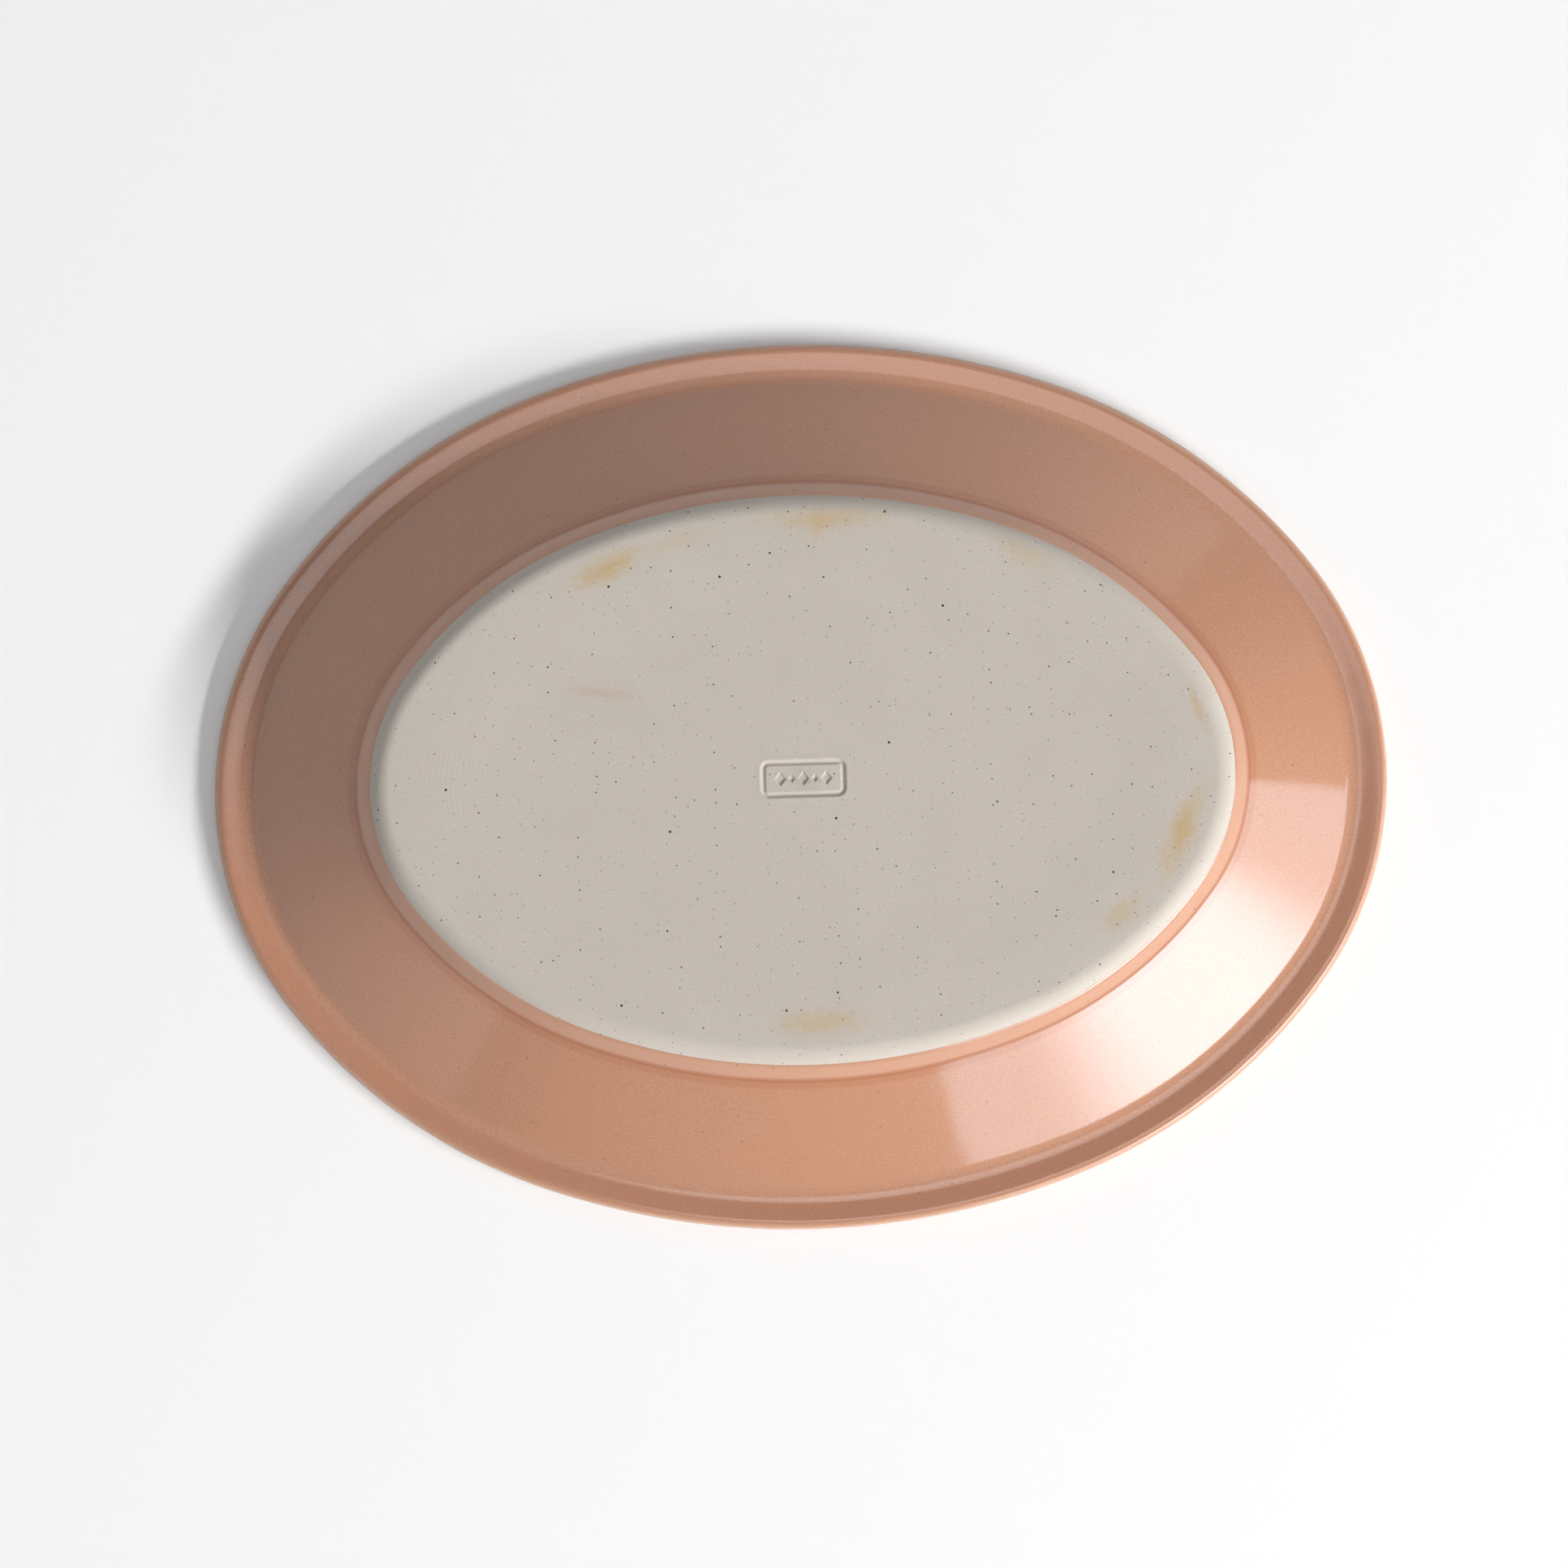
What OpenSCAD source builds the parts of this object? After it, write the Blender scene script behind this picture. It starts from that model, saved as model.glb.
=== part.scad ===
// Oval stoneware serving platter, lying face down on its lip, foot upwards.
// The rim is a band of constant width. Its outline is an oval of eight tangent arcs,
// so one cross-section, turned about each arc's own centre, makes the whole rim.

/* [Outline] */
// Radius of the oval's two end arcs
end_radius = 90.5; // [84:0.25:96]
// Radius of the four shoulder arcs between the ends and the sides
shoulder_radius = 143.25; // [134:0.25:152]
// Radius of the two side arcs. With the values above: 305 mm long, 230.4 mm wide
side_radius = 199.5; // [186:0.25:212]
// Height from the lip to the foot face
platter_height = 29.5; // [27:0.5:33]

/* [Lip] */
// Radius of the clay's rounded lip edge
lip_radius = 1.85; // [1.4:0.05:2.2]
// Slope of the lip's food side, rising inwards when face down, in degrees
lip_face_slope = 3; // [1:0.5:6]
// Slope of the lip's back, falling inwards when face down, in degrees
lip_back_slope = 9; // [4:0.5:11]
// Distance from the clay's edge to the middle of the cove behind the lip
cove_inset = 8.8; // [7:0.1:9.5]
// Radius of the cove behind the lip
cove_radius = 7; // [6:0.5:12]
// Radius of the turn from the lip into the well, on the food side
face_shoulder_radius = 9; // [5:0.5:12]

/* [Wall and well] */
// Thickness of the flared clay wall
wall_thickness = 5; // [4:0.1:6]
// Thickness of the clay floor
floor_thickness = 5.2; // [4.4:0.1:6.5]
// Radius of the turn from the wall into the floor of the well
well_radius = 22; // [12:1:26]

/* [Foot] */
// Width of the glazed band, from the platter's edge to the glaze line on the foot
glazed_band = 43.1; // [42:0.1:45]
// Height of the foot's steep side, from the wall to the foot face
foot_side_height = 7.6; // [6.5:0.1:8.2]
// Steepness of the foot's side, in degrees
foot_side_angle = 52; // [46:1:60]
// Radius of the hollow corner between the wall and the foot's side
foot_corner_radius = 1.5; // [0.8:0.1:2.5]
// Radius of the bare rounded edge of the foot face
foot_edge_radius = 6.5; // [4:0.1:7]

/* [Glaze] */
// Thickness of the fired glaze coats
glaze_thickness = 0.35; // [0.25:0.05:0.5]

/* [Pressed mark] */
// Length of the pressed frame, over its outside
frame_length = 21.3; // [18:0.1:24]
// Width of the pressed frame, over its outside
frame_width = 9.2; // [8:0.1:11]
// Corner radius of the pressed frame, over its outside
frame_corner = 2; // [1.5:0.1:2.6]
// Width of the frame's groove
frame_groove = 1.1; // [0.8:0.1:1.3]
// Depth of the pressed mark
mark_depth = 0.45; // [0.3:0.05:0.6]
// Height of the large lozenges inside the frame
lozenge_height = 3.4; // [3:0.1:3.8]
// Distance between neighbouring lozenges inside the frame
lozenge_pitch = 2.9; // [2.7:0.1:3.1]

/* [Hidden] */

clay_color = "#cfc6ba";
glaze_color = "#c99a7c";

// Oval. The outward normal turns from the long axis to the short one. Neighbouring arcs
// meet where it has these directions, which are unit vectors in whole thousandths.
end_seam = [0.8, 0.6];
side_seam = [0.352, 0.936];
end_turn = atan2(end_seam.y, end_seam.x);
shoulder_turn = atan2(side_seam.y, side_seam.x);
shoulder_step = (shoulder_radius - end_radius) * end_seam;
side_step = (side_radius - shoulder_radius) * side_seam;
end_centre = [shoulder_step.x + side_step.x, 0];
shoulder_centre = [side_step.x, -shoulder_step.y];
side_centre = [0, -shoulder_step.y - side_step.y];

// Cross-section of the clay, in [distance out from the platter's edge, height].
// A vertex is [point, fillet radius], in order from the floor of the well round the lip
// to the foot face, with the clay on the left of the walk.
bead = [-glaze_thickness - lip_radius, glaze_thickness + lip_radius];
foot_edge_x = -glazed_band - foot_edge_radius * tan(foot_side_angle / 2) * cos(foot_side_angle);
foot_edge = [foot_edge_x, platter_height];
foot_corner = foot_edge + foot_side_height * [1 / tan(foot_side_angle), -1];
cove = lip_back(-glaze_thickness - cove_inset);
wall_angle = atan2(foot_corner.y - cove.y, cove.x - foot_corner.x);
inner_wall = cove - wall_thickness * [sin(wall_angle), cos(wall_angle)];
well_z = platter_height - floor_thickness;
well_corner = [inner_wall.x - (well_z - inner_wall.y) / tan(wall_angle), well_z];
// The wall's inner line meets the lip's food side here.
face_rise = lip_face(inner_wall.x).y - inner_wall.y;
shoulder_x = inner_wall.x - face_rise / (tan(wall_angle) - tan(lip_face_slope));
edge_x = -glaze_thickness;
section = [
    [well_corner, well_radius],
    [lip_face(shoulder_x), face_shoulder_radius],
    [lip_face(edge_x), lip_radius],
    [lip_back(edge_x), lip_radius],
    [cove, cove_radius],
    [foot_corner, foot_corner_radius],
    [foot_edge, foot_edge_radius]
];
// Places along the section where one surface gives way to the next.
COVE = 4;
FOOT_EDGE = 6;
// Degrees of turn per facet of a fillet, in the cross-section
facet_turn = 15;
// The ring reaches this far in, and the flat slabs overlap its inner margin.
ring_inset = -well_corner.x + well_radius * tan(wall_angle / 2) + 4;
slab_inset = ring_inset - 2;
slab_step = 2;
// Each arc's cutting wedge reaches past the platter's edge.
wedge_reach = 400;
rim_facets = 120;

function ray(turn) = [cos(turn), sin(turn)];

function unit(v) = v / norm(v);

// A point on the lip's food side or back, at a given distance out.
function lip_face(x) =
    [x, bead.y - lip_radius / cos(lip_face_slope) + (bead.x - x) * tan(lip_face_slope)];

function lip_back(x) =
    [x, bead.y + lip_radius / cos(lip_back_slope) - (bead.x - x) * tan(lip_back_slope)];

function before(i) = i == 0 ? [-ring_inset, well_z] : section[i - 1][0];

function after(i) = i == len(section) - 1 ? [-ring_inset, platter_height] : section[i + 1][0];

// The surface's outward normal, on a straight run from p to q.
function normal_angle(p, q) = atan2(p.x - q.x, q.y - p.y);

// Points round one fillet, raised by lift along the surface's normal.
function fillet(i, lift) =
    let (
        p = before(i),
        v = section[i][0],
        q = after(i),
        from = normal_angle(p, v),
        raw = normal_angle(v, q) - from,
        turn = raw > 180 ? raw - 360 : raw < -180 ? raw + 360 : raw,
        side = sign(turn),
        radius = side * section[i][1],
        inwards = unit(unit(p - v) + unit(q - v)),
        centre = v + side * radius / cos(turn / 2) * inwards,
        count = ceil(abs(turn) / facet_turn)
    )
    [for (k = [0:count]) centre + (radius + lift) * ray(from + turn * k / count)];

function join(lists) = [for (list = lists) for (item = list) item];

function flip(list) = [for (i = [len(list) - 1:-1:0]) list[i]];

// Fillets first to last, joined by their tangent lines.
function run(first, last, lift) = join([for (i = [first:last]) fillet(i, lift)]);

function last_of(list) = list[len(list) - 1];

function clay_section() =
    concat([[-ring_inset, well_z]], run(0, FOOT_EDGE, 0), [[-ring_inset, platter_height]]);

// The face coat runs from the floor of the well round the lip to the end of the cove.
function face_section() =
    concat(
        [[-ring_inset, well_z]],
        [[-ring_inset, well_z - glaze_thickness]],
        run(0, COVE, glaze_thickness),
        flip(run(0, COVE, 0))
    );

// The back coat runs from there to the glaze line, at the start of the foot's edge.
function back_section() =
    concat(
        [last_of(fillet(COVE, 0)), last_of(fillet(COVE, glaze_thickness))],
        fillet(FOOT_EDGE - 1, glaze_thickness),
        [fillet(FOOT_EDGE, glaze_thickness)[0], fillet(FOOT_EDGE, 0)[0]],
        flip(fillet(FOOT_EDGE - 1, 0))
    );

// One arc of the oval: the section is turned into a full ring about the arc's centre,
// and the ring is cut to the wedge between the arc's two seams.
module rim_arc(centre, radius, from, to, points) {
    intersection() {
        translate([centre.x, centre.y, 0])
            rotate_extrude($fn = rim_facets)
                translate([radius, 0])
                    polygon(points);
        translate([centre.x, centre.y, -1])
            linear_extrude(height = platter_height + 2)
                polygon([[0, 0], wedge_reach * from, wedge_reach * to]);
    }
}

// The arcs of one half of the oval: an end, two shoulders and a side.
module half_rim(points) {
    rim_arc(end_centre, end_radius, [end_seam.x, -end_seam.y], end_seam, points);
    rim_arc(side_centre, side_radius, side_seam, [-side_seam.x, side_seam.y], points);
    rim_arc(shoulder_centre, shoulder_radius, end_seam, side_seam, points);
    mirror([1, 0, 0])
        rim_arc(shoulder_centre, shoulder_radius, end_seam, side_seam, points);
}

module rim(points) {
    half_rim(points);
    rotate(180)
        half_rim(points);
}

// A quarter of the oval's outline, moved inwards.
function oval_point(turn, inset) =
    turn < end_turn ? end_centre + (end_radius - inset) * ray(turn)
    : turn < shoulder_turn ? shoulder_centre + (shoulder_radius - inset) * ray(turn)
    : side_centre + (side_radius - inset) * ray(turn);

// A flat slab that fills the middle of the ring. Its outer edge lies inside the ring.
module slab(low, high) {
    quarter = [for (turn = [0:slab_step:90]) oval_point(turn, slab_inset)];
    upper = concat(quarter, [for (p = flip(quarter)) [-p.x, p.y]]);
    translate([0, 0, low])
        linear_extrude(height = high - low)
            polygon(concat(upper, [for (p = flip(upper)) [p.x, -p.y]]));
}

module rounded_plate(length, width, corner, height) {
    cube([length - 2 * corner, width, height], center = true);
    cube([length, width - 2 * corner, height], center = true);
    for (x = [-1, 1], y = [-1, 1]) {
        translate([x * (length / 2 - corner), y * (width / 2 - corner), 0])
            cylinder(r = corner, h = height, center = true, $fn = 48);
    }
}

module lozenge(height, depth) {
    slimness = 0.62;
    half = height / 2;
    linear_extrude(height = depth, center = true)
        polygon([[half * slimness, 0], [0, half], [-half * slimness, 0], [0, -half]]);
}

// A plain geometric mark: a rounded frame with a row of lozenges, large and small in turn.
module mark() {
    depth = 2 * mark_depth;
    inner_corner = frame_corner - frame_groove / 2;
    small_share = 0.55;
    difference() {
        rounded_plate(frame_length, frame_width, frame_corner, depth);
        rounded_plate(
            frame_length - 2 * frame_groove,
            frame_width - 2 * frame_groove,
            inner_corner,
            depth + 1
        );
    }
    for (i = [-2:2]) {
        translate([i * lozenge_pitch, 0, 0])
            lozenge(lozenge_height * (i % 2 == 0 ? 1 : small_share), depth);
    }
}

module stoneware_body() {
    color(clay_color)
        difference() {
            union() {
                rim(clay_section());
                slab(well_z, platter_height);
            }
            translate([0, 0, platter_height])
                mark();
        }
}

module face_glaze() {
    color(glaze_color)
        union() {
            rim(face_section());
            slab(well_z - glaze_thickness, well_z);
        }
}

module back_glaze() {
    color(glaze_color)
        rim(back_section());
}

stoneware_body();
face_glaze();
back_glaze();
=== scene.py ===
# %% [markdown]
# # An oval stoneware serving platter, seen from behind
# The platter is one pressed piece of speckled stoneware with a tan satin-gloss glaze on its
# face, lip and back. Only the foot is bare. It lies face down on its lip, foot upwards.
# The model is loaded first: it gives the places of every piece, and nothing is fitted to it
# afterwards.

# %% Load the model
import math

import bmesh
import bpy
from mathutils import Matrix, Vector


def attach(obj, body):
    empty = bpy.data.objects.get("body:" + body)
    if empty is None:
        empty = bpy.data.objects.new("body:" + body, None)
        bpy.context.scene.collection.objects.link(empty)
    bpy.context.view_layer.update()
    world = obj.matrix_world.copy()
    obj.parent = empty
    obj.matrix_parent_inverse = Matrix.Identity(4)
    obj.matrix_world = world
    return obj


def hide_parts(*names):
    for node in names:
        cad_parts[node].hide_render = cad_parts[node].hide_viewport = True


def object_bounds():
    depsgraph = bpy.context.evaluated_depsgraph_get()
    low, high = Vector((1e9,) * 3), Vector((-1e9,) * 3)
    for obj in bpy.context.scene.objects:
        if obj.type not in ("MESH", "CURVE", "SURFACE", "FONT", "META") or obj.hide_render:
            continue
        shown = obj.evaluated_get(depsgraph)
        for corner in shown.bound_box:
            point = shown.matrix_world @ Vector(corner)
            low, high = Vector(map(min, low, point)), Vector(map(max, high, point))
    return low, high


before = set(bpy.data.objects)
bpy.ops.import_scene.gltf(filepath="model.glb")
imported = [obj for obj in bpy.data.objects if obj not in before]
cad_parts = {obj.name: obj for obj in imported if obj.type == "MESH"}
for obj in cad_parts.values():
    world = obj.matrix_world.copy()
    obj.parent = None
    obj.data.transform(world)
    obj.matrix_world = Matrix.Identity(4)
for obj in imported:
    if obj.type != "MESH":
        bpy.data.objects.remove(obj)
cad_low, cad_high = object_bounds()
MM = 0.001
half_length, half_width, height = cad_high.x, cad_high.y, cad_high.z
print("platter, mm:", [round(side / MM, 1) for side in cad_high - cad_low])

# %% [markdown]
# ## Camera
# A long lens almost straight above keeps the oval true. The eye leans a few degrees
# towards the near side, so the foot sits slightly high in the rim, and the camera is
# turned a little, so the platter isn't square to the picture.

# %% Camera
EYE_HEIGHT = 850 * MM
LEAN_BACK, LEAN_LEFT = math.radians(2.95), math.radians(0.57)
PICTURE_TURN = math.radians(1.7)
aim = Vector((-4.64, 0.14, 2)) * MM
eye = aim + EYE_HEIGHT * Vector((-math.sin(LEAN_LEFT), -math.sin(LEAN_BACK), math.cos(LEAN_BACK)))

lens = bpy.data.cameras.new("camera")
lens.lens, lens.sensor_width, lens.sensor_height = 75, 36, 36
camera = bpy.data.objects.new("camera", lens)
bpy.context.scene.collection.objects.link(camera)
backwards = (eye - aim).normalized()
right = Vector((0, 1, 0)).cross(backwards).normalized()
up = backwards.cross(right)
look = Matrix((right, up, backwards)).transposed().to_4x4()
camera.matrix_world = Matrix.Translation(eye) @ look @ Matrix.Rotation(-PICTURE_TURN, 4, "Z")
bpy.context.scene.camera = camera
bpy.context.scene.view_settings.view_transform = "Standard"
print("camera height, mm:", round(eye.z / MM))

# %% [markdown]
# ## The outline
# A true ellipse gets tighter all the way to its ends, and a band of constant width round it
# is no longer an ellipse. Potters' moulds use an oval of arcs instead: eight arcs that meet
# where they point the same way. Every band round such an oval keeps the same eight
# centres, so one cross-section can be spun about each centre in turn. The oval is the same
# in all four quarters, so a quarter is enough: half of the end's arc, the shoulder's arc
# and half of the side's arc.

# %% The oval's arcs
END_RADIUS, SHOULDER_RADIUS, SIDE_RADIUS = 90.5 * MM, 143.25 * MM, 199.5 * MM
END_SEAM, SIDE_SEAM = Vector((0.8, 0.6)), Vector((0.352, 0.936))
OUTLINE_STEP = 1.6 * MM
end_turn = math.atan2(END_SEAM.y, END_SEAM.x)
side_turn = math.atan2(SIDE_SEAM.y, SIDE_SEAM.x)
shoulder_shift = (SHOULDER_RADIUS - END_RADIUS) * END_SEAM
side_shift = (SIDE_RADIUS - SHOULDER_RADIUS) * SIDE_SEAM
end_centre = Vector((shoulder_shift.x + side_shift.x, 0))
shoulder_centre = Vector((side_shift.x, -shoulder_shift.y))
side_centre = Vector((0, -shoulder_shift.y - side_shift.y))
quarter_arcs = [
    (end_centre, END_RADIUS, end_turn),
    (shoulder_centre, SHOULDER_RADIUS, side_turn - end_turn),
    (side_centre, SIDE_RADIUS, math.pi / 2 - side_turn),
]
print("lip round a quarter, mm:", round(sum(r * turn for _, r, turn in quarter_arcs) / MM))


def edge_distance(x, y):
    """How far a point lies in from the platter's edge, seen from above."""
    x, y = abs(x), abs(y)
    for centre, radius, seam in (
        (end_centre, END_RADIUS, END_SEAM),
        (shoulder_centre, SHOULDER_RADIUS, SIDE_SEAM),
    ):
        spoke = Vector((x, y)) - centre
        if spoke.x * seam.y > spoke.y * seam.x:
            return radius - spoke.length
    return SIDE_RADIUS - (Vector((x, y)) - side_centre).length


print("edge distance at both axes, mm:", edge_distance(half_length, 0) / MM,
      edge_distance(0, half_width) / MM)

# %% [markdown]
# ## The cross-section
# A potter draws the section as straight runs joined by rounded corners. Each corner here is
# a point and a radius, from the floor of the well out round the lip and back to the foot
# face. Raising every corner's arc by the same lift gives the glaze's surface, because the
# arcs keep their centres.

# %% Corners of the clay's section
GLAZE = 0.35 * MM
LIP_RADIUS = 1.85 * MM
LIP_FACE_SLOPE, LIP_BACK_SLOPE = math.radians(3), math.radians(9)
COVE_INSET, COVE_RADIUS = 8.8 * MM, 7 * MM
WELL_RADIUS, FACE_SHOULDER_RADIUS, FOOT_CORNER_RADIUS = 22 * MM, 9 * MM, 1.5 * MM
WALL_THICKNESS, FLOOR_THICKNESS = 5 * MM, 5.2 * MM
GLAZED_BAND = 43.1 * MM
FOOT_SIDE_HEIGHT, FOOT_SIDE_ANGLE = 7.6 * MM, math.radians(52)
FOOT_EDGE_RADIUS = 6.5 * MM
RING_INSET = 80 * MM
WELL, FACE_SHOULDER, LIP_FACE, LIP_BACK, COVE, FOOT_CORNER, FOOT_EDGE = range(7)

bead = Vector((-GLAZE - LIP_RADIUS, GLAZE + LIP_RADIUS))


def lip_face(x):
    """The lip's food side, at a distance x out from the platter's edge."""
    drop = LIP_RADIUS / math.cos(LIP_FACE_SLOPE) - (bead.x - x) * math.tan(LIP_FACE_SLOPE)
    return Vector((x, bead.y - drop))


def lip_back(x):
    """The lip's back, at a distance x out from the platter's edge."""
    rise = LIP_RADIUS / math.cos(LIP_BACK_SLOPE) - (bead.x - x) * math.tan(LIP_BACK_SLOPE)
    return Vector((x, bead.y + rise))


foot_tangent = FOOT_EDGE_RADIUS * math.tan(FOOT_SIDE_ANGLE / 2)
foot_edge = Vector((-GLAZED_BAND - foot_tangent * math.cos(FOOT_SIDE_ANGLE), height))
foot_corner = foot_edge + FOOT_SIDE_HEIGHT * Vector((1 / math.tan(FOOT_SIDE_ANGLE), -1))
cove = lip_back(-GLAZE - COVE_INSET)
wall_angle = math.atan2(foot_corner.y - cove.y, cove.x - foot_corner.x)
inner_wall = cove - WALL_THICKNESS * Vector((math.sin(wall_angle), math.cos(wall_angle)))
well_z = height - FLOOR_THICKNESS
well_corner = Vector((inner_wall.x - (well_z - inner_wall.y) / math.tan(wall_angle), well_z))
face_rise = lip_face(inner_wall.x).y - inner_wall.y
shoulder_x = inner_wall.x - face_rise / (math.tan(wall_angle) - math.tan(LIP_FACE_SLOPE))
corners = [
    (well_corner, WELL_RADIUS),
    (lip_face(shoulder_x), FACE_SHOULDER_RADIUS),
    (lip_face(-GLAZE), LIP_RADIUS),
    (lip_back(-GLAZE), LIP_RADIUS),
    (cove, COVE_RADIUS),
    (foot_corner, FOOT_CORNER_RADIUS),
    (foot_edge, FOOT_EDGE_RADIUS),
]
print("wall angle:", round(math.degrees(wall_angle), 1))


# %% Arcs at the corners, and the runs between them
def heading(start, end):
    """Direction of the outward normal on a straight run, with the clay on its left."""
    return math.atan2(start.x - end.x, end.y - start.y)


def corner_arc(index, lift, facet):
    """Points round one corner, raised by lift along the normal, a facet's turn apart."""
    before = corners[index - 1][0] if index else Vector((-RING_INSET, well_z))
    after = corners[index + 1][0] if index < FOOT_EDGE else Vector((-RING_INSET, height))
    point, radius = corners[index]
    start = heading(before, point)
    turn = (heading(point, after) - start + math.pi) % math.tau - math.pi
    side = math.copysign(1, turn)
    inwards = ((before - point).normalized() + (after - point).normalized()).normalized()
    centre = point + side * inwards * (side * radius) / math.cos(turn / 2)
    reach = side * radius + lift
    count = max(1, math.ceil(abs(turn) / facet))
    angles = [start + turn * k / count for k in range(count + 1)]
    return [centre + reach * Vector((math.cos(a), math.sin(a))) for a in angles]


def section_run(first, last, lift, facet, spacing):
    """The section from corner first to corner last, with points on its straight runs."""
    path = []
    for index in range(first, last + 1):
        arc = corner_arc(index, lift, facet)
        if path:
            path += straight(path[-1], arc[0], spacing)
        path += arc
    return path


def straight(start, end, spacing):
    """Points between two ends, neither included."""
    count = max(1, round((end - start).length / spacing))
    return [start.lerp(end, k / count) for k in range(1, count)]


print("points round the lip:", len(section_run(LIP_FACE, LIP_BACK, GLAZE, 0.15, MM)))

# %% [markdown]
# ## Turning the section
# The section stands on the platter's long axis and is spun about the quarter's three centres
# one after the other, the last row of each spin starting the next. Then the quarter is
# mirrored across both axes. Spinning all round would also do, but each step of a
# spin looks through the whole mesh, so a quarter is many times quicker. Each vertex
# keeps its distance from the edge, so that a finish can follow the rim.


# %% Spin a section round the oval
def spin_round(bm, path):
    """Spins an open path of [out, up] points round the oval."""
    rows = [bm.verts.new((half_length + point.x, 0, point.y)) for point in path]
    row = rows + [bm.edges.new(pair) for pair in zip(rows, rows[1:])]
    for centre, radius, turn in quarter_arcs:
        spun = bmesh.ops.spin(
            bm, geom=row, cent=(centre.x, centre.y, 0), axis=(0, 0, 1), dvec=(0, 0, 0),
            angle=turn, steps=round(radius * turn / OUTLINE_STEP),
            use_merge=False, use_duplicate=False,
        )
        row = spun["geom_last"]
    for axis in ("X", "Y"):
        made = bm.verts[:] + bm.edges[:] + bm.faces[:]
        bmesh.ops.mirror(bm, geom=made, matrix=Matrix(), merge_dist=0.01 * MM, axis=axis)
    bmesh.ops.remove_doubles(bm, verts=bm.verts, dist=0.005 * MM)


def boundary_loops(bm):
    """The mesh's open edges, as one set for each loop."""
    loops, left = [], {edge for edge in bm.edges if edge.is_boundary}
    while left:
        loop, todo = set(), [left.pop()]
        while todo:
            edge = todo.pop()
            loop.add(edge)
            for vert in edge.verts:
                for other in vert.link_edges:
                    if other in left:
                        left.remove(other)
                        todo.append(other)
        loops.append(loop)
    return loops


SHARP_TURN = math.radians(50)


def finish_piece(bm, name, material):
    """Closes the mesh into an object that rides on the model and stands for its node."""
    bmesh.ops.recalc_face_normals(bm, faces=bm.faces)
    across = bm.verts.layers.float.new("across")
    for vert in bm.verts:
        vert[across] = edge_distance(vert.co.x, vert.co.y)
    for face in bm.faces:
        face.smooth = True
    for edge in bm.edges:
        edge.smooth = edge.calc_face_angle(0) < SHARP_TURN
    mesh = bpy.data.meshes.new(name)
    bm.to_mesh(mesh)
    bm.free()
    mesh.materials.append(material)
    piece = bpy.data.objects.new(name, mesh)
    bpy.context.scene.collection.objects.link(piece)
    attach(piece, "root")
    print(name, "faces:", len(mesh.polygons))
    return piece


# %% [markdown]
# ## Helpers for procedural finishes
# Both finishes are built from the same few steps: noise, a ramp between two values, and a
# mix of two colours. Colours are given as they would be measured on the fired ware.


# %% Node helpers
def srgb(red, green, blue):
    """A colour measured from 0 to 255, as the shader wants it."""
    def linear(value):
        value /= 255
        return value / 12.92 if value <= 0.04045 else ((value + 0.055) / 1.055) ** 2.4
    return (linear(red), linear(green), linear(blue), 1)


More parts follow.
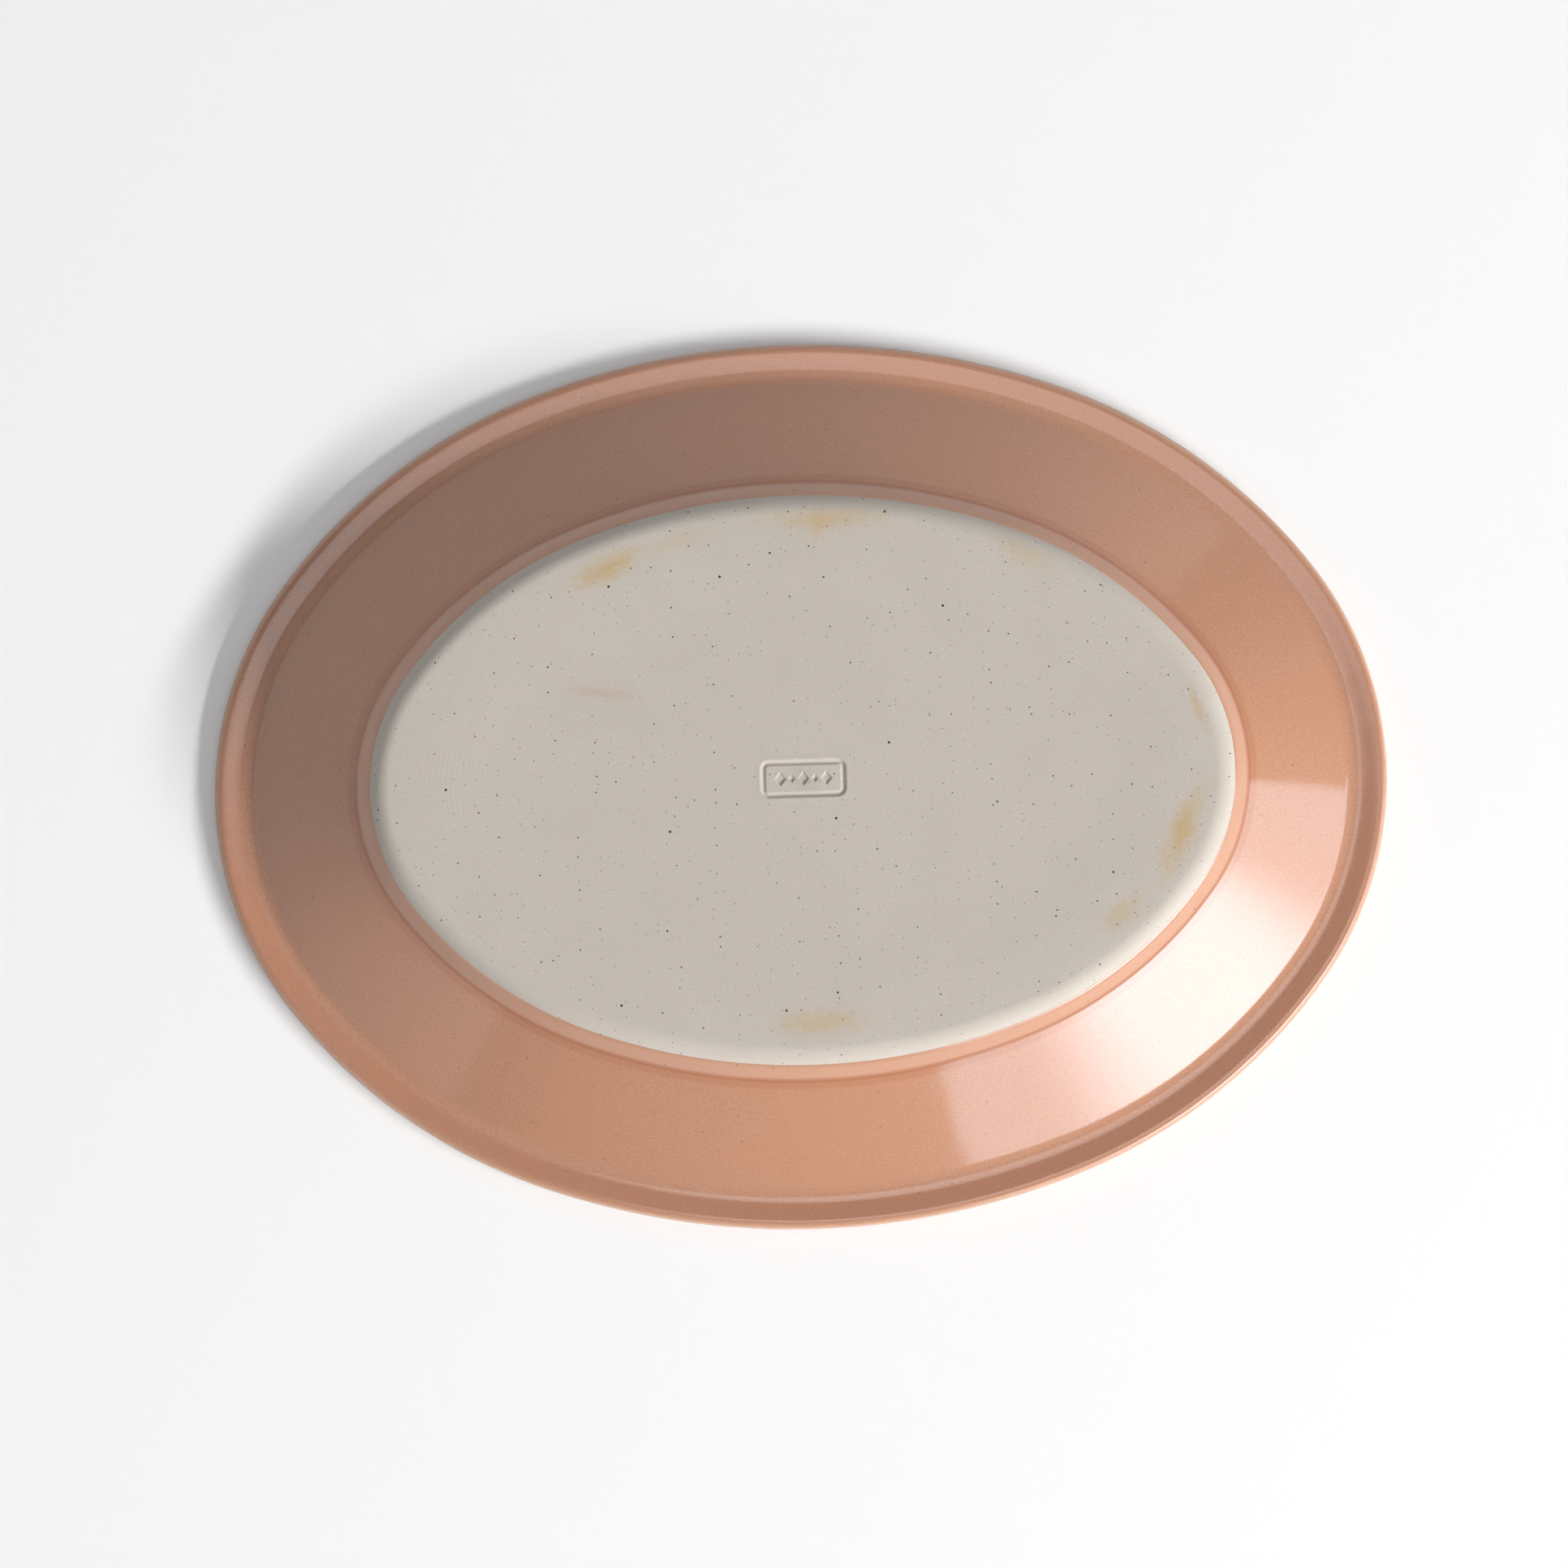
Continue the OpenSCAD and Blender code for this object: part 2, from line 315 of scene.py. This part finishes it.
class Finish:
    """A material's node tree, with the steps that both finishes share."""

    def __init__(self, name):
        self.material = bpy.data.materials.new(name)
        self.material.use_nodes = True
        self.tree = self.material.node_tree
        self.shader = self.tree.nodes["Principled BSDF"]
        self.place = self.add("ShaderNodeTexCoord").outputs["Object"]
        across = self.add("ShaderNodeAttribute")
        across.attribute_name = "across"
        self.across = across.outputs["Fac"]

    def add(self, kind, **settings):
        node = self.tree.nodes.new(kind)
        for key, value in settings.items():
            setattr(node, key, value)
        return node

    def wire(self, node, name, value):
        """Links a socket, or sets its number."""
        socket = node.inputs[name]
        if isinstance(value, bpy.types.NodeSocket):
            self.tree.links.new(value, socket)
        else:
            socket.default_value = value

    def maths(self, operation, first, second=0.0):
        node = self.add("ShaderNodeMath", operation=operation)
        self.wire(node, 0, first)
        self.wire(node, 1, second)
        return node.outputs[0]

    def noise(self, size, detail=2.0, roughness=0.5):
        """Noise from 0 to 1, whose lumps are about size metres across."""
        node = self.add("ShaderNodeTexNoise")
        self.wire(node, "Vector", self.place)
        self.wire(node, "Scale", 1 / size)
        self.wire(node, "Detail", detail)
        self.wire(node, "Roughness", roughness)
        return node.outputs["Fac"]

    def cells(self, size, shift=(0, 0, 0)):
        """Distance in metres to the nearest of a plan's scattered points, and its own value."""
        mapping = self.add("ShaderNodeMapping")
        self.wire(mapping, "Vector", self.place)
        self.wire(mapping, "Location", shift)
        node = self.add("ShaderNodeTexVoronoi", voronoi_dimensions="2D")
        self.wire(node, "Vector", mapping.outputs[0])
        self.wire(node, "Scale", 1 / size)
        value = self.add("ShaderNodeSeparateColor")
        self.wire(value, "Color", node.outputs["Color"])
        return self.maths("MULTIPLY", node.outputs["Distance"], size), value.outputs["Red"]

    def ramp(self, value, low, high, start=0.0, end=1.0):
        """Goes smoothly from start to end as value goes from low to high."""
        node = self.add("ShaderNodeMapRange", interpolation_type="SMOOTHSTEP")
        self.wire(node, "Value", value)
        self.wire(node, "From Min", low)
        self.wire(node, "From Max", high)
        self.wire(node, "To Min", start)
        self.wire(node, "To Max", end)
        return node.outputs["Result"]

    def band(self, value, low, high, soft):
        """1 between low and high, falling to 0 over soft on both sides."""
        rise = self.ramp(value, low - soft, low)
        fall = self.ramp(value, high, high + soft, 1, 0)
        return self.maths("MULTIPLY", rise, fall)

    def mix(self, share, first, second):
        node = self.add("ShaderNodeMix", data_type="RGBA")
        self.wire(node, 0, share)
        for index, value in ((6, first), (7, second)):
            self.wire(node, index, value)
        return node.outputs[2]

    def bump(self, height_value, distance, under=None):
        node = self.add("ShaderNodeBump")
        self.wire(node, "Height", height_value)
        self.wire(node, "Distance", distance)
        self.wire(node, "Strength", 1.0)
        if under is not None:
            self.wire(node, "Normal", under)
        return node.outputs["Normal"]


print("helpers ready")

# %% [markdown]
# ## The glaze
# A tan satin-gloss glaze with a fine grain. It runs off edges and gathers in hollows, so it
# is thin and pale over the foot's side and gathers in a fine deep line at the hollow corner
# below it. A wider darker band beside that corner is painted shade, where the foot shades the
# platter's wall. A darker band across the lip's flange is painted shade of its inward
# lean. Tiny iron specks show through here and there, and the surface is very slightly
# uneven, which breaks up the edges of reflections.

# %% Glaze material
glaze = Finish("tan_glaze")
# Deep glaze colour for the fine line in the hollow corner. It is also used as painted shade beside that
# corner and across the flange.
DEEP_GLAZE_AND_PAINTED_SHADE = srgb(160, 98, 66)
GLAZE_THIN = srgb(190, 145, 120)
GLAZE_BROKEN = srgb(206, 172, 148)
SPECK = srgb(96, 62, 44)

grain = glaze.noise(0.5 * MM, detail=3)
drift = glaze.noise(26 * MM, detail=3)
colour = glaze.mix(glaze.ramp(grain, 0.3, 0.7), srgb(174, 127, 102), srgb(186, 138, 112))
colour = glaze.mix(glaze.ramp(drift, 0.35, 0.7, 0, 0.35), colour, srgb(184, 131, 101))


def tint_band(colour, low, high, soft, share, tint):
    """Tints the glaze between two distances from the platter's edge, in millimetres."""
    band = glaze.band(glaze.across, low * MM, high * MM, soft * MM)
    return glaze.mix(glaze.maths("MULTIPLY", band, share), colour, tint)


foot_side = (39.6, 44.5, 0.7, 0.5)
# Painted shade: a darker band on the wall beside the foot's hollow corner, where the foot shades it.
painted_corner_shade = (37.4, 39.2, 1.1, 0.3)
corner_line = (38.8, 39.2, 0.5, 0.6)
# Painted shade: a darker band across the lip's flange, standing in for the shade of its inward lean.
lip = (2.8, 6, 2.2, 0.28)
colour = tint_band(colour, *foot_side, GLAZE_THIN)
colour = tint_band(colour, *painted_corner_shade, DEEP_GLAZE_AND_PAINTED_SHADE)
colour = tint_band(colour, *corner_line, DEEP_GLAZE_AND_PAINTED_SHADE)
colour = tint_band(colour, *lip, DEEP_GLAZE_AND_PAINTED_SHADE)
lip_edge = glaze.ramp(glaze.across, 0.3 * MM, 1.8 * MM, 0.5, 0)
colour = glaze.mix(lip_edge, colour, GLAZE_BROKEN)
speck_distance, speck_value = glaze.cells(9 * MM)
speck_size = glaze.ramp(speck_value, 0.6, 1.0, 0.0, 0.22 * MM)
speck = glaze.maths("LESS_THAN", speck_distance, speck_size)
colour = glaze.mix(glaze.maths("MULTIPLY", speck, 0.6), colour, SPECK)
glaze.wire(glaze.shader, "Base Color", colour)
glaze.wire(glaze.shader, "Roughness", glaze.ramp(grain, 0.3, 0.7, 0.07, 0.1))
glaze.wire(glaze.shader, "IOR", 1.52)
swell = glaze.bump(glaze.noise(9 * MM, detail=2), 0.05 * MM)
glaze.wire(glaze.shader, "Normal", glaze.bump(grain, 0.007 * MM, under=swell))
print("glaze nodes:", len(glaze.tree.nodes))

# %% [markdown]
# ## The bare stoneware
# Fired clay with a dry, slightly sandy skin. Iron specks of several sizes are scattered
# through it, and each size is its own field of points, most of them left out at random. Where
# the foot stands on the table it has picked up tan rub stains, in patches along
# the contact ring. Pressing the clay left faint rings that follow the oval.

# %% Stoneware material
clay = Finish("bare_stoneware")
sand = clay.noise(0.45 * MM, detail=4, roughness=0.7)
cloud = clay.noise(18 * MM, detail=4)
colour = clay.mix(clay.ramp(sand, 0.3, 0.7), srgb(187, 179, 170), srgb(196, 188, 179))
colour = clay.mix(clay.ramp(cloud, 0.3, 0.7, 0, 0.5), colour, srgb(187, 179, 168))


def add_specks(colour, spacing, biggest, kept, tint, share):
    """Scatters specks up to biggest across, leaving out all but the kept share of points."""
    distance, point = clay.cells(spacing, shift=(spacing * 0.37, kept, biggest * 40))
    size = clay.ramp(point, 1 - kept, 1.0, 0.0, biggest / 2)
    ragged = clay.maths("MULTIPLY", clay.noise(0.35 * MM), 0.1 * MM)
    near = clay.maths("ADD", distance, ragged)
    speck = clay.ramp(clay.maths("SUBTRACT", near, size), 0.02 * MM, 0.08 * MM, 1, 0)
    return clay.mix(clay.maths("MULTIPLY", speck, share), colour, tint)


colour = add_specks(colour, 2.8 * MM, 0.34 * MM, 0.6, srgb(112, 98, 84), 0.85)
colour = add_specks(colour, 5 * MM, 0.46 * MM, 0.5, srgb(72, 60, 50), 0.95)
colour = add_specks(colour, 14 * MM, 0.68 * MM, 0.45, srgb(40, 32, 28), 1.0)


def add_stain(colour, centre, half_size, tilt, share, tint):
    """A rubbed patch with a ragged edge. Centre and half size are in millimetres."""
    place = clay.add("ShaderNodeMapping", vector_type="TEXTURE")
    clay.wire(place, "Vector", clay.place)
    clay.wire(place, "Location", (centre[0] * MM, centre[1] * MM, 0))
    clay.wire(place, "Rotation", (0, 0, math.radians(tilt)))
    clay.wire(place, "Scale", (half_size[0] * MM, half_size[1] * MM, 10))
    out = clay.add("ShaderNodeVectorMath", operation="LENGTH")
    clay.wire(out, 0, place.outputs[0])
    rough_edge = clay.maths("MULTIPLY", clay.noise(2.2 * MM, detail=6, roughness=0.8), 2.2)
    amount = clay.ramp(clay.maths("ADD", out.outputs["Value"], rough_edge), 1.0, 2.3, share, 0)
    return clay.mix(amount, colour, tint)


TAN, RUST = srgb(186, 158, 110), srgb(176, 140, 110)
colour = add_stain(colour, (-48, 54.5), (11, 4), 27, 0.85, TAN)
colour = add_stain(colour, (-30, 61), (12, 3), 14, 0.3, TAN)
colour = add_stain(colour, (8, 65.5), (18, 3.6), 0, 0.6, TAN)
colour = add_stain(colour, (6, 64), (1.6, 5), -12, 0.6, TAN)
colour = add_stain(colour, (57, 55.5), (11, 3), -27, 0.4, TAN)
colour = add_stain(colour, (100, 15), (7, 1.6), -72, 0.6, TAN)
colour = add_stain(colour, (95, -16), (14, 4.2), 66, 0.85, TAN)
colour = add_stain(colour, (79, -36.5), (8, 3.6), 42, 0.5, TAN)
colour = add_stain(colour, (2, -61.5), (14, 4.2), 2, 0.55, TAN)
colour = add_stain(colour, (-50, 23), (11, 1.7), -6, 0.35, RUST)
colour = add_stain(colour, (0, 0), (8.4, 8.4), 0, 0.25, srgb(176, 170, 158))
colour = add_stain(colour, (0, 0), (4.4, 4.4), 0, 0.3, srgb(168, 162, 150))
clay.wire(clay.shader, "Base Color", colour)
clay.wire(clay.shader, "Roughness", 0.88)
clay.wire(clay.shader, "IOR", 1.35)
ring_wave = clay.maths("SINE", clay.maths("MULTIPLY", clay.across, math.tau / (1.3 * MM)))
ring_share = clay.ramp(clay.noise(16 * MM, detail=3), 0.5, 0.75)
rings = clay.bump(clay.maths("MULTIPLY", ring_wave, ring_share), 0.012 * MM)
clay.wire(clay.shader, "Normal", clay.bump(sand, 0.045 * MM, under=rings))
print("stoneware nodes:", len(clay.tree.nodes))

# %% [markdown]
# ## The stoneware body
# The whole clay section is spun, floor of the well to foot face. Under the glaze a few
# points per corner are enough. The rounded foot edge and the foot face are bare, so they get
# close rows. The foot face dips by a third of a millimetre inside its contact ring, as
# pressed ware does when it dries.

# %% Spin the clay
HIDDEN_FACET, SHOWN_FACET = math.radians(15), math.radians(4)
DISH = 0.35 * MM
DISH_START, DISH_END = 56 * MM, 76 * MM
NEAR_FOOT_FACE = 1.2 * MM


def smooth_step(value, low, high):
    t = min(1, max(0, (value - low) / (high - low)))
    return t * t * (3 - 2 * t)


body = bmesh.new()
path = [Vector((-RING_INSET, well_z))]
path += section_run(WELL, FOOT_CORNER, 0, HIDDEN_FACET, 9 * MM)
foot_arc = corner_arc(FOOT_EDGE, 0, SHOWN_FACET)
path += straight(path[-1], foot_arc[0], 1 * MM) + foot_arc
foot_rim = Vector((-RING_INSET, height))
path += straight(path[-1], foot_rim, 2.4 * MM) + [foot_rim]
spin_round(body, path)
print("clay section points:", len(path))

# %% [markdown]
# ## The pressed mark
# A small rounded frame with a row of lozenges, pressed into the foot while the clay was
# leather-hard. A boolean cut would leave knife edges, so a fine grid fills the
# middle of the foot, and its points are pushed down by a soft groove function.

# %% Press the mark into a grid
PATCH_LENGTH, PATCH_WIDTH, PATCH_CELL = 27 * MM, 15 * MM, 0.17 * MM
FRAME_LENGTH, FRAME_WIDTH, FRAME_CORNER = 20.2 * MM, 8.1 * MM, 1.45 * MM
GROOVE_HALF, GROOVE_DEPTH = 0.8 * MM, 0.42 * MM
RIDGE_HEIGHT, SUNK_DEPTH, LOZENGE_DEPTH = 0.06 * MM, 0.08 * MM, 0.34 * MM
LOZENGE_PITCH, LOZENGE_HALF_HEIGHT, LOZENGE_SLIMNESS = 2.9 * MM, 1.7 * MM, 0.8


def frame_distance(x, y):
    """Distance from the frame's centre line, negative inside it."""
    dx = abs(x) - FRAME_LENGTH / 2 + FRAME_CORNER
    dy = abs(y) - FRAME_WIDTH / 2 + FRAME_CORNER
    outside = math.hypot(max(dx, 0), max(dy, 0))
    return outside + min(max(dx, dy), 0) - FRAME_CORNER


def lozenge_depth(x, y):
    """How deep the nearest lozenge of the row is pressed here."""
    place = round(x / LOZENGE_PITCH)
    if abs(place) > 2:
        return 0
    half = LOZENGE_HALF_HEIGHT * (1 if place % 2 == 0 else 0.55)
    dx = abs(x - place * LOZENGE_PITCH) / LOZENGE_SLIMNESS
    inside = half - dx - abs(y)
    return LOZENGE_DEPTH * smooth_step(inside, -0.2 * MM, 0.3 * MM)


def press_depth(x, y):
    """Depth of the whole mark at a point, with a slight ridge where clay was pushed up."""
    distance = frame_distance(x, y)
    groove = GROOVE_DEPTH * (1 - smooth_step(abs(distance), 0.12 * MM, GROOVE_HALF))
    climb, fall = smooth_step(distance, 0.5 * MM, MM), smooth_step(distance, MM, 2.2 * MM)
    ridge = RIDGE_HEIGHT * (climb - fall)
    sunk = SUNK_DEPTH * (1 - smooth_step(distance, -0.6 * MM, 0))
    return groove + sunk - ridge + lozenge_depth(x, y)


columns, rows = round(PATCH_LENGTH / PATCH_CELL), round(PATCH_WIDTH / PATCH_CELL)
stretch = Matrix.Diagonal((PATCH_LENGTH / 2, PATCH_WIDTH / 2, 1, 1))
lift = Matrix.Translation((0, 0, height))
patch = bmesh.ops.create_grid(
    body, x_segments=columns, y_segments=rows, size=1, matrix=lift @ stretch
)["verts"]
for vert in patch:
    vert.co.z -= press_depth(vert.co.x, vert.co.y)
print("patch points:", len(patch), "deepest, mm:", max(press_depth(v.co.x, v.co.y) for v in patch) / MM)

# %% Join the patch to the foot face, dish the foot and close the floor
loops = boundary_loops(body)
loops.sort(key=lambda loop: sum(e.verts[0].co.z for e in loop) / len(loop))
floor_loop, top_loops = loops[0], loops[1:]
between = [edge for loop in top_loops for edge in loop]
bmesh.ops.triangle_fill(body, use_beauty=True, use_dissolve=False, edges=between)
bmesh.ops.contextual_create(body, geom=list(floor_loop))
for vert in body.verts:
    if vert.co.z > height - NEAR_FOOT_FACE:
        inset = edge_distance(vert.co.x, vert.co.y)
        vert.co.z -= DISH * smooth_step(inset, DISH_START, DISH_END)
stoneware_body = finish_piece(body, "stoneware_foot_and_body", clay.material)
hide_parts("stoneware_body")

# %% [markdown]
# ## The glaze coats
# Each coat is a closed skin: its outer surface is the section raised by the glaze's
# thickness, and its inner surface lies on the clay. The two coats meet edge to edge behind
# the lip, as one glaze. At the foot the wiped glaze thins out to nothing, so that no
# step is left to catch dirt.

# %% Coats of glaze
GLAZE_FACET = math.radians(7)
FLOOR_INSET = 66 * MM
THINNING = [(1.5 * MM, 0.35 * MM), (0.9 * MM, 0.31 * MM), (0.4 * MM, 0.2 * MM), (0, 0.05 * MM)]

face = bmesh.new()
outer = [Vector((-FLOOR_INSET, well_z - GLAZE))]
outer += section_run(WELL, COVE, GLAZE, GLAZE_FACET, 2.2 * MM)
inner = [Vector((-FLOOR_INSET, well_z))]
inner += section_run(WELL, COVE, 0, HIDDEN_FACET, 9 * MM)
spin_round(face, outer + inner[::-1])
for loop in boundary_loops(face):
    bmesh.ops.contextual_create(face, geom=list(loop))
face_glaze = finish_piece(face, "face_glaze_coat", glaze.material)
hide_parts("face_glaze")

back = bmesh.new()
outer = [corner_arc(COVE, GLAZE, GLAZE_FACET)[-1]]
outer += straight(outer[-1], corner_arc(FOOT_CORNER, GLAZE, GLAZE_FACET)[0], 2 * MM)
outer += corner_arc(FOOT_CORNER, GLAZE, GLAZE_FACET)
clay_line = corner_arc(FOOT_EDGE, 0, GLAZE_FACET)[0]
foot_line = corner_arc(FOOT_EDGE, GLAZE, GLAZE_FACET)[0]
off_clay = (foot_line - clay_line).normalized()
climb = Vector((-off_clay.y, off_clay.x))
outer += straight(outer[-1], foot_line - THINNING[0][0] * climb, 0.8 * MM)
outer += [clay_line - back_from * climb + coat * off_clay for back_from, coat in THINNING]
inner = [clay_line] + corner_arc(FOOT_CORNER, 0, HIDDEN_FACET)[::-1]
inner += [corner_arc(COVE, 0, GLAZE_FACET)[-1]]
spin_round(back, outer + inner + [outer[0]])
back_glaze = finish_piece(back, "back_glaze_coat", glaze.material)
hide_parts("back_glaze")

# %% [markdown]
# ## Floor and light
# A plain white table. A wide soft window stands low on the near right and is seen only as
# a reflection in the glaze. A narrower strip of bright sky behind it, never mirrored, is
# what lights the platter and casts its shadow, so the shadow stays compact. A pale wall
# curves round the far side: the glaze mirrors it as a soft veil that ends at the wall's two
# edges. The ceiling panel is also seen only in reflections, and the room brightens upwards.

# %% Floor
def panel(name, centre, width, depth):
    """A flat rectangle that faces the platter."""
    bm = bmesh.new()
    bmesh.ops.create_grid(bm, x_segments=1, y_segments=1, size=0.5)
    bmesh.ops.scale(bm, vec=(width, depth, 1), verts=bm.verts)
    mesh = bpy.data.meshes.new(name)
    bm.to_mesh(mesh)
    bm.free()
    flat = bpy.data.objects.new(name, mesh)
    flat.location = centre
    if centre.length:
        flat.rotation_euler = (-centre).to_track_quat("Z", "Y").to_euler()
    bpy.context.scene.collection.objects.link(flat)
    return flat


table = panel("table", Vector((0, 0, 0)), 6, 6)
white = Finish("white_table")
white.wire(white.shader, "Base Color", srgb(241, 241, 241))
white.wire(white.shader, "Roughness", 0.7)
table.data.materials.append(white.material)
print("table:", tuple(table.dimensions))


# %% Window and ceiling
def on_sphere(azimuth, elevation, distance):
    """A place seen from the platter, with angles in degrees."""
    a, e = math.radians(azimuth), math.radians(elevation)
    return distance * Vector((math.cos(a) * math.cos(e), math.sin(a) * math.cos(e), math.sin(e)))


def glow(flat, middle, edge, inner, outer, colour, hot_spot=0):
    """Light from a panel: middle's strength within inner of its hot spot, edge's past outer."""
    finish = Finish(flat.name + "_light")
    emission = finish.add("ShaderNodeEmission")
    from_spot = finish.add("ShaderNodeVectorMath", operation="DISTANCE")
    finish.wire(from_spot, 0, finish.place)
    finish.wire(from_spot, 1, (hot_spot, 0, 0))
    strength = finish.ramp(from_spot.outputs["Value"], inner, outer, middle, edge)
    finish.wire(emission, "Strength", strength)
    finish.wire(emission, "Color", colour)
    out = finish.tree.nodes["Material Output"]
    finish.tree.links.new(emission.outputs[0], out.inputs["Surface"])
    flat.data.materials.append(finish.material)
    flat.visible_camera = False


WARM, COOL = (1, 0.985, 0.965, 1), (0.97, 0.98, 1, 1)
WINDOW_DISTANCE, WINDOW_WIDTH = 2.2, 3.08
window = panel("window", on_sphere(-37, 22, WINDOW_DISTANCE), WINDOW_WIDTH, 0.8)
glow(window, 12.5, 4.3, 0.25, 1.0, (0.86, 0.98, 1.1, 1), hot_spot=0.18)
window.visible_diffuse = False
window.visible_shadow = False
bright_sky = panel("bright_sky", on_sphere(-35, 26, 5.0), 4.0, 0.26)
SKY_STRENGTH = 116
glow(bright_sky, SKY_STRENGTH, SKY_STRENGTH, 0, 1, WARM)
bright_sky.visible_glossy = False
ceiling = panel("bright_ceiling", on_sphere(-45, 78, 1.5), 0.9, 0.9)
glow(ceiling, 2.9, 0.4, 0.28, 0.44, COOL)
ceiling.visible_diffuse = False
window_edge = math.atan(WINDOW_WIDTH / 2 / WINDOW_DISTANCE)
print("window edges, degrees:", round(math.degrees(window_edge)))

# %% Curved wall
WALL_DISTANCE, WALL_LOW, WALL_HIGH = 1.6, 0.02, 1.0
WALL_FROM, WALL_TO = math.radians(43), math.radians(232)
bm = bmesh.new()
upright = [bm.verts.new((WALL_DISTANCE, 0, z)) for z in (WALL_LOW, WALL_HIGH)]
post = upright + [bm.edges.new(upright)]
bmesh.ops.rotate(bm, verts=upright, cent=(0, 0, 0), matrix=Matrix.Rotation(WALL_FROM, 3, "Z"))
bmesh.ops.spin(
    bm, geom=post, cent=(0, 0, 0), axis=(0, 0, 1), dvec=(0, 0, 0), angle=WALL_TO - WALL_FROM,
    steps=40, use_merge=False, use_duplicate=False,
)
mesh = bpy.data.meshes.new("pale_wall")
bm.to_mesh(mesh)
bm.free()
wall = bpy.data.objects.new("pale_wall", mesh)
bpy.context.scene.collection.objects.link(wall)
WALL_STRENGTH = 1.05
glow(wall, WALL_STRENGTH, WALL_STRENGTH, 0, 1, COOL)
wall.visible_diffuse = False

BRIGHTENS_FROM, BRIGHTENS_TO = 0.4, 0.9
LOW_LIGHT, OVERHEAD_LIGHT = 0.3, 0.6
world = bpy.data.worlds.new("room")
world.use_nodes = True
sky = world.node_tree
direction = sky.nodes.new("ShaderNodeTexCoord")
upward = sky.nodes.new("ShaderNodeSeparateXYZ")
brightness = sky.nodes.new("ShaderNodeMapRange")
sky.links.new(direction.outputs["Generated"], upward.inputs["Vector"])
sky.links.new(upward.outputs["Z"], brightness.inputs["Value"])
brightness.inputs["From Min"].default_value = BRIGHTENS_FROM
brightness.inputs["From Max"].default_value = BRIGHTENS_TO
brightness.inputs["To Min"].default_value = LOW_LIGHT
brightness.inputs["To Max"].default_value = OVERHEAD_LIGHT
sky.links.new(brightness.outputs["Result"], sky.nodes["Background"].inputs["Strength"])
sky.nodes["Background"].inputs["Color"].default_value = COOL
bpy.context.scene.world = world
print("lights placed")
